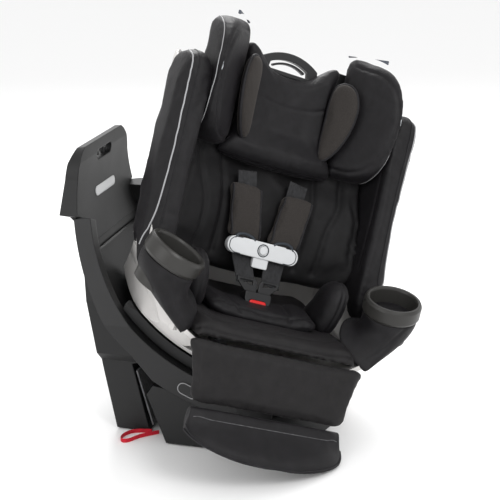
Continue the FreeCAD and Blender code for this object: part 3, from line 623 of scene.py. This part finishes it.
def cup_frame(side):
    s = side_sign(side)
    centre = Vector((s * CUP_CENTRE.x, CUP_CENTRE.y, CUP_CENTRE.z))
    return Matrix.Translation(centre) @ turn(-14 * s, "Y") @ turn(-3, "X")


def shell_top(y):
    """Height of the lower shell's top edge at y, in the seat frame."""
    return float(np.interp(y, (-0.260, -0.216, -0.105, 0.120), (0.118, 0.133, 0.171, 0.171)))


def shell_side(y):
    """Half width of the lower shell at y."""
    return float(np.interp(y, (-0.222, -0.115, -0.050), (0.176, 0.236, 0.245)))


POCKET_POINTS = 28


def cup_pocket(side):
    """Fabric pocket round a cup holder, tapering down to the shell's front corner."""
    s = side_sign(side)
    rim = cup_frame(side)
    levels = [(0.0, -0.0285, 0.0515), (0.0, -0.036, 0.0518), (0.02, -0.048, 0.0510), (0.14, -0.062, 0.0500),
              (0.40, -0.072, 0.0490), (0.75, -0.080, 0.0480), (0.95, -0.084, 0.047), (1.0, -0.086, 0.045)]
    rings = []
    for step, (blend, drop, radius) in enumerate(levels):
        ring = []
        for k in range(POCKET_POINTS):
            a = 2 * math.pi * k / POCKET_POINTS
            high = rim @ Vector((s * radius * math.cos(a), radius * math.sin(a), drop))
            y = -0.152 + 0.064 * math.sin(a)
            last = step == len(levels) - 1
            outermost = shell_side(y) + (0.002 if last else 0.010)
            x = min(0.203 + 0.058 * math.cos(a), outermost)
            low = Vector((s * x, y, shell_top(y) - (0.022 if last else 0.012)))
            ring.append(tuple(high.lerp(low, blend)))
        rings.append(ring)
    name = "pocket_cover_" + side
    obj = subdivided(rings_object(name, rings, SEAT), 1)
    obj = puffed(obj, 0, 2.0, 0.002)
    seam = [rim @ Vector((s * 0.01, -0.05, -0.034)), Vector((s * 0.214, -0.190, 0.165)),
            Vector((s * 0.192, -0.212, 0.136))]
    crease(obj, on_surface(obj, seam, SEAT, (-s * 0.3, 1, 0)), 0.003, 0.0018)
    sewn_pad(obj, ["side_pod_" + side], "black_fabric", "seat")


def head_wing(side):
    """Deep side wing of the headrest: a slanted pad with a gusset round its rim."""
    s = side_sign(side)
    outline = smooth_loop([(0.004, 0.172), (0.028, 0.158), (0.066, 0.160), (0.106, 0.178), (0.134, 0.212),
                           (0.148, 0.258), (0.147, 0.306), (0.130, 0.350), (0.094, 0.380),
                           (0.040, 0.393), (0.004, 0.388), (0.0, 0.280)])

    def shape(u, v, depth):
        face = np.array((0.100 + 0.634 * u, 0.774 * u))
        rear = np.array((np.interp(u, (0.0, 0.05), (0.148, 0.1955)), -0.022 + 0.76 * u))
        x, out = face + (rear - face) * depth
        return (s * min(x, 0.1955 + 0.4 * max(0.0, out - 0.092)), -out, v)

    name = "head_wing_cover_" + side
    obj = pad_mesh(name, outline, 0.0, 1.0, shape, BACK, 0.016)
    obj = puffed(obj, 0.006, 3.0, 0.0025)
    loop = [(0.012, 0.176), (0.060, 0.172), (0.098, 0.190), (0.122, 0.222), (0.134, 0.262),
            (0.133, 0.304), (0.117, 0.342), (0.085, 0.368), (0.030, 0.379)]
    seam = snapped(obj, [shape(u, v, 0.0) for u, v in loop], BACK, 0.0)
    crease(obj, seam, 0.0032, 0.0024)
    sewn_pad(obj, ["head_wing_" + side], "black_fabric", "headrest")
    rim = [(0.030, 0.158), (0.066, 0.160), (0.106, 0.178), (0.134, 0.212), (0.148, 0.258),
           (0.147, 0.306), (0.130, 0.350), (0.094, 0.380), (0.045, 0.392)]
    line = snapped(obj, [shape(u, v, 0.92) for u, v in rim], BACK, 0.0003)
    tube("wing_piping_" + side, line, 0.0009, "piping", "headrest")
    for label, v, high, look in (("dark", 0.298, 0.007, "navy_plastic"),
                                 ("light", 0.284, 0.006, "label_cloth")):
        tag(obj, "wing_tag_%s_%s" % (label, side), lambda a, b: shape(0.150, v + b, 0.10 + a), 0.16,
            high, look, "headrest")


def head_centre():
    """Middle pad of the headrest: flares to two soft corners over a rolled lower edge."""
    right = [(0.060, 0.137), (0.112, 0.143), (0.122, 0.153), (0.110, 0.186), (0.101, 0.240),
             (0.101, 0.310), (0.106, 0.360), (0.094, 0.368), (0.072, 0.356), (0.040, 0.336)]
    left = [(-u, v) for u, v in reversed(right)]
    outline = smooth_loop([(0, 0.135)] + right + [(0, 0.330)] + left)

    def shape(u, v, depth):
        roll = 0.020 * math.exp(-((v - 0.166) / 0.026) ** 2) * (1 - 0.6 * (u / 0.14) ** 2)
        bowed = -0.012 * (1 - min(1.0, (u / 0.10) ** 2)) * min(1.0, max(0.0, (v - 0.17) / 0.05))
        return (u, -(depth + roll + bowed), v)

    obj = pad_mesh("head_pad_cover", outline, -0.021, 0.010, shape, BACK, 0.020)
    obj = puffed(obj, 0.0055, 4.0, 0.006)
    arc = [(-0.085, 0, 0.282), (-0.05, 0, 0.270), (0, 0, 0.265), (0.05, 0, 0.270), (0.085, 0, 0.282)]
    crease(obj, on_surface(obj, arc, BACK, (0, 1, 0)), 0.003, 0.0018)
    under = [(-0.115, 0, 0.150), (-0.07, 0, 0.147), (0, 0, 0.145), (0.07, 0, 0.147), (0.115, 0, 0.150)]
    crease(obj, on_surface(obj, under, BACK, (0, 1, 0)), 0.0032, 0.0020)
    sewn_pad(obj, ["head_cushion"], "black_fabric", "headrest")


def head_pillow(side):
    """Slim heather pillow that leans out of the headrest beside the face."""
    s = side_sign(side)
    outline = smooth_loop([(-0.027, 0.190), (-0.016, 0.184), (0.002, 0.202), (0.018, 0.232),
                           (0.028, 0.268), (0.028, 0.302), (0.016, 0.328), (-0.004, 0.336),
                           (-0.020, 0.327), (-0.027, 0.300), (-0.029, 0.245)])
    slant = math.radians(42)

    def shape(u, v, depth):
        x = 0.101 + u * math.cos(slant) - depth * math.sin(slant)
        y = -0.036 - u * math.sin(slant) - depth * math.cos(slant)
        return (s * x, y, v)

    name = "pillow_cover_" + side
    obj = pad_mesh(name, outline, -0.010, 0.012, shape, BACK, 0.014)
    obj = puffed(obj, 0.004, 4.0, 0.004)
    sewn_pad(obj, ["head_pillow_" + side], "heather_fabric", "headrest")
    tree = BVHTree.FromObject(obj, bpy.context.evaluated_depsgraph_get())
    middle = BACK @ Vector(shape(0, 0.26, 0.0))
    line = []
    for u, v in outline:
        world = BACK @ Vector(shape(u, v, 0.0))
        aim = (middle - world).normalized()
        hit = tree.ray_cast(world - aim * 0.05, aim)[0]
        line.append(hit if hit else world)
    tube("pillow_border_" + side, line, 0.0034, "dark_piping", "headrest", True)


def shoulder_cover(side):
    """Heather pad round a shoulder strap with bound edges."""
    s = side_sign(side)
    half = 0.0330
    outline = smooth_loop([(-half, 0.006), (0, 0.003), (half, 0.006), (half, 0.035), (half, 0.070),
                           (half - 0.002, 0.098), (0, 0.103), (-half + 0.002, 0.098), (-half, 0.070),
                           (-half, 0.035)])

    def shape(u, v, depth):
        x = 0.0405 + 0.016 * v / 0.1 + u
        return (s * x, -0.0215 - depth - 0.006 * (1 - v / 0.1), v)

    name = "shoulder_cover_" + side
    obj = pad_mesh(name, outline, -0.004, 0.011, shape, BACK, 0.009)
    obj = puffed(obj, 0.004, 3.0, 0.003)
    sewn_pad(obj, ["shoulder_pad_" + side], "heather_fabric", "seat")
    for edge in (-half + 0.004, half - 0.004):
        points = [shape(edge, v, 0.01) for v in (0.008, 0.04, 0.07, 0.098)]
        line = on_surface(obj, points, BACK, (0, 1, 0), 0.0002)
        label = "inner" if edge < 0 else "outer"
        tube("shoulder_binding_%s_%s" % (label, side), line, 0.0022, "dark_piping", "seat")


def leg_panel():
    """Satin front panel of the leg rest, sewn along its foot."""
    outline = smooth_loop([(-0.172, -0.003), (-0.10, 0.0), (0, 0.001), (0.10, 0.0), (0.172, -0.003),
                           (0.170, -0.030), (0.160, -0.070), (0.149, -0.108), (0.08, -0.112),
                           (0, -0.113), (-0.08, -0.112), (-0.149, -0.108), (-0.160, -0.070),
                           (-0.170, -0.030)], 8)

    def shape(u, v, depth):
        return (u, -depth, v)

    obj = pad_mesh("leg_panel_cover", outline, -0.013, 0.003, shape, LEG, 0.012)
    obj = puffed(obj, 0.0055, 3.0, 0.004)
    sewn_pad(obj, ["leg_rest_panel"], "mesh_fabric", "leg_rest")


LIP_REACH = 0.079      # how far the lip's middle stands out past its straight rear edge
LIP_ROUNDING = 0.9     # 1 is a plain cosine, less is squarer


def leg_lip():
    """Scooped foot of the leg rest with piping over its front edge."""
    rows = [(0.150, -0.285, 0.030, 0.0), (0.153, -0.296, 0.016, 0.05), (0.156, -0.302, 0.006, 0.30),
            (0.157, -0.304, -0.001, 0.72), (0.157, -0.305, -0.006, 0.95), (0.156, -0.304, -0.010, 1.0),
            (0.155, -0.300, -0.0125, 0.92), (0.150, -0.293, -0.011, 0.55), (0.150, -0.284, -0.006, 0.15),
            (0.150, -0.276, 0.010, 0.0), (0.150, -0.273, 0.022, 0.0)]
    columns = 25
    rings = []
    for k in range(columns):
        t = -1 + 2 * k / (columns - 1)
        ring = []
        for half, y_back, z, reach in rows:
            x = half * math.sin(t * math.pi / 2)
            out = LIP_REACH * reach * math.cos(t * math.pi / 2) ** LIP_ROUNDING
            ring.append((x, y_back - out, z))
        rings.append(ring)
    obj = rings_object("leg_lip_cover", rings, SEAT)
    obj = subdivided(obj)
    obj = puffed(obj, 0, 3.0, 0.003)
    sewn_pad(obj, ["leg_rest_lip"], "black_fabric", "leg_rest")
    for label, drop, radius in (("upper", 0.002, 0.0017), ("lower", -0.009, 0.0019)):
        points = []
        for k in range(13):
            t = -1 + 2 * k / 12
            out = 0.085 * math.cos(t * math.pi / 2) ** LIP_ROUNDING
            points.append((0.160 * math.sin(t * math.pi / 2), -0.306 - out, drop))
        line = snapped(obj, points, SEAT, 0.0004)
        tube("lip_piping_" + label, line, radius, "dark_piping", "leg_rest")
    # Thin light grey cord along the seam between panel and lip: a painted highlight where light catches the seam.
    seam = [(x, -0.31, 0.026) for x in (-0.148, -0.08, 0.0, 0.08, 0.148)]
    line = snapped(obj, seam, SEAT, 0.0002)
    tube("lip_seam_painted_highlight", line, 0.0007, "grey_webbing", "leg_rest")


# ---------------------------------------------------------------- harness
WEBBING_WIDTH = 0.038
WEBBING_THICKNESS = 0.0022


def harness_strap(side):
    """Webbing from under the headrest through the clip to the buckle's tongue."""
    s = side_sign(side)
    route = smooth_line([(s * 0.056, -0.014, 0.128), (s * 0.052, -0.018, 0.100),
                         (s * 0.043, -0.021, 0.010), (s * 0.038, -0.024, -0.022),
                         (s * 0.030, -0.036, -0.052), (s * 0.026, -0.046, -0.074)])
    across, normals = [], []
    for k, p in enumerate(route):
        ahead = route[min(k + 1, len(route) - 1)] - route[max(k - 1, 0)]
        normal = Vector((0, -ahead.z, ahead.y)).normalized()
        if normal.y > 0:
            normal = -normal
        across.append(BACK.to_3x3() @ ahead.cross(normal).normalized())
        normals.append(BACK.to_3x3() @ normal)
    line = [BACK @ p for p in route]
    obj = band("harness_web_" + side, line, across, normals, WEBBING_WIDTH, WEBBING_THICKNESS,
               "webbing", "seat")
    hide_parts("harness_strap_" + side)


def clip_lines():
    """Moulded lines of the chest clip: a C at each end, a ring round the button, two dark hoops."""
    end = [(0.046, 0.0038), (0.060, 0.0030), (0.0690, -0.0035), (0.0705, -0.011), (0.0690, -0.0185),
           (0.060, -0.0250), (0.046, -0.0258)]
    hoop = [(0.062, 0.001), (0.056, 0.0085), (0.043, 0.0115), (0.028, 0.0085), (0.020, 0.003)]
    for side in SIDES:
        s = side_sign(side)
        line = [BACK @ p for p in smooth_line([(s * x, -0.0391, z) for x, z in end])]
        tube("clip_end_" + side, line, 0.0008, "navy_plastic", "seat")
        line = [BACK @ p for p in smooth_line([(s * x, -0.0365, z) for x, z in hoop])]
        tube("clip_hoop_" + side, line, 0.0030, "navy_plastic", "seat")
    ring = [BACK @ Vector((0.0112 * math.cos(a), -0.0391, -0.011 + 0.0112 * math.sin(a)))
            for a in np.linspace(0, 2 * math.pi, 40, endpoint=False)]
    tube("clip_ring", ring, 0.0010, "navy_plastic", "seat", True)


def badge_rims():
    """Pale rim round the blank badge on each side of the base."""
    slope = math.radians(23)
    middle = Vector((0, -0.086 + 0.372 * math.sin(slope), 0.457 - 0.372 * math.cos(slope)))
    for side in SIDES:
        s = side_sign(side)
        rim = []
        for a in np.linspace(0, 2 * math.pi, 40, endpoint=False):
            along = math.copysign(0.009, math.cos(a)) + 0.0108 * math.cos(a)
            up = 0.0108 * math.sin(a)
            rim.append(middle + Vector((s * 0.1966, along * math.cos(slope) - up * math.sin(slope),
                                        along * math.sin(slope) + up * math.cos(slope))))
        tube("badge_rim_" + side, rim, 0.0009, "piping", "base", True)


def release_loop():
    """Red pull loop of flat webbing on edge beside the rear foot."""
    route = [(-151.5, 145), (-154, 164), (-161, 181), (-178, 191), (-196, 192), (-204, 184),
             (-198, 173), (-178, 162), (-164, 146), (-151.5, 131)]
    curve = bpy.data.curves.new("pull_loop", "CURVE")
    curve.dimensions = "2D"
    curve.fill_mode = "NONE"
    curve.extrude = 0.0036
    curve.bevel_depth = 0.0004
    spline = curve.splines.new("NURBS")
    spline.points.add(len(route) - 1)
    for k, (x, y) in enumerate(route):
        spline.points[k].co = (x / 1000, y / 1000, 0, 1)
    spline.order_u = 3
    spline.use_endpoint_u = True
    spline.resolution_u = 8
    obj = bpy.data.objects.new("pull_loop", curve)
    obj.location.z = 0.004
    bpy.context.scene.collection.objects.link(obj)
    finish_piece(obj, "red_webbing", "base")
    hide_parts("release_pull_loop")


# ---------------------------------------------------------------- carried-over CAD nodes
def dress_nodes():
    """Gives each CAD node that stays visible the look of its material slot."""
    slots = {part["node"]: part["material_slot"] for part in frame["record"]["subparts"]}
    for name, obj in frame["nodes"].items():
        if obj.hide_render:
            continue
        obj.data.materials.clear()
        obj.data.materials.append(MATERIALS[slots[name]])


# ---------------------------------------------------------------- scene
FLOOR_REACH = 40
CAMERA_AZIMUTH = -75.6
CAMERA_ELEVATION = 18.0
CAMERA_DISTANCE = 2.361
CAMERA_LENS = 90.7
CAMERA_TARGET = Vector((0.0065, -0.003, 0.321))


def light(name, location, size, power, aim=(0, 0, 0.35), colour=(1, 1, 1)):
    data = bpy.data.lights.new(name, "AREA")
    data.energy = power
    data.size = size
    data.color = colour
    obj = bpy.data.objects.new(name, data)
    obj.location = location
    obj.rotation_euler = (Vector(aim) - Vector(location)).to_track_quat("-Z", "Y").to_euler()
    bpy.context.scene.collection.objects.link(obj)


def studio():
    """Pale floor, soft lights and the camera at the product's three-quarter view."""
    reach = FLOOR_REACH
    corners = [(-reach, -reach, 0), (reach, -reach, 0), (reach, reach, 0), (-reach, reach, 0)]
    floor = mesh_object("studio_floor", corners, [(0, 1, 2, 3)])
    floor.data.materials.append(material("pale_floor", (0.90, 0.90, 0.90), 0.75)[0])
    world = bpy.data.worlds.new("studio")
    bpy.context.scene.world = world
    world.use_nodes = True
    world.node_tree.nodes["Background"].inputs["Color"].default_value = (1, 1, 1, 1)
    world.node_tree.nodes["Background"].inputs["Strength"].default_value = 1.02
    light("key", (-1.6, -1.9, 2.4), 1.2, 42)
    light("fill", (-2.4, 1.3, 1.2), 1.6, 16)
    light("rim", (1.6, 0.6, 2.0), 1.2, 40)
    azimuth = math.radians(CAMERA_AZIMUTH)
    elevation = math.radians(CAMERA_ELEVATION)
    back = Vector((math.sin(azimuth) * math.cos(elevation), -math.cos(azimuth) * math.cos(elevation),
                   math.sin(elevation)))
    data = bpy.data.cameras.new("camera")
    data.lens = CAMERA_LENS
    camera = bpy.data.objects.new("camera", data)
    camera.location = CAMERA_TARGET + back * CAMERA_DISTANCE
    camera.rotation_euler = (-back).to_track_quat("-Z", "Y").to_euler()
    bpy.context.scene.collection.objects.link(camera)
    bpy.context.scene.camera = camera
    bpy.context.scene.view_settings.view_transform = "Standard"


back_pad()
seat_pad()
insert_pad()
for side in SIDES:
    torso_bolster(side)
    hip_cushion(side)
    cup_pocket(side)
    head_wing(side)
    head_pillow(side)
    shoulder_cover(side)
    harness_strap(side)
head_centre()
leg_panel()
leg_lip()
clip_lines()
badge_rims()
release_loop()
dress_nodes()
studio()
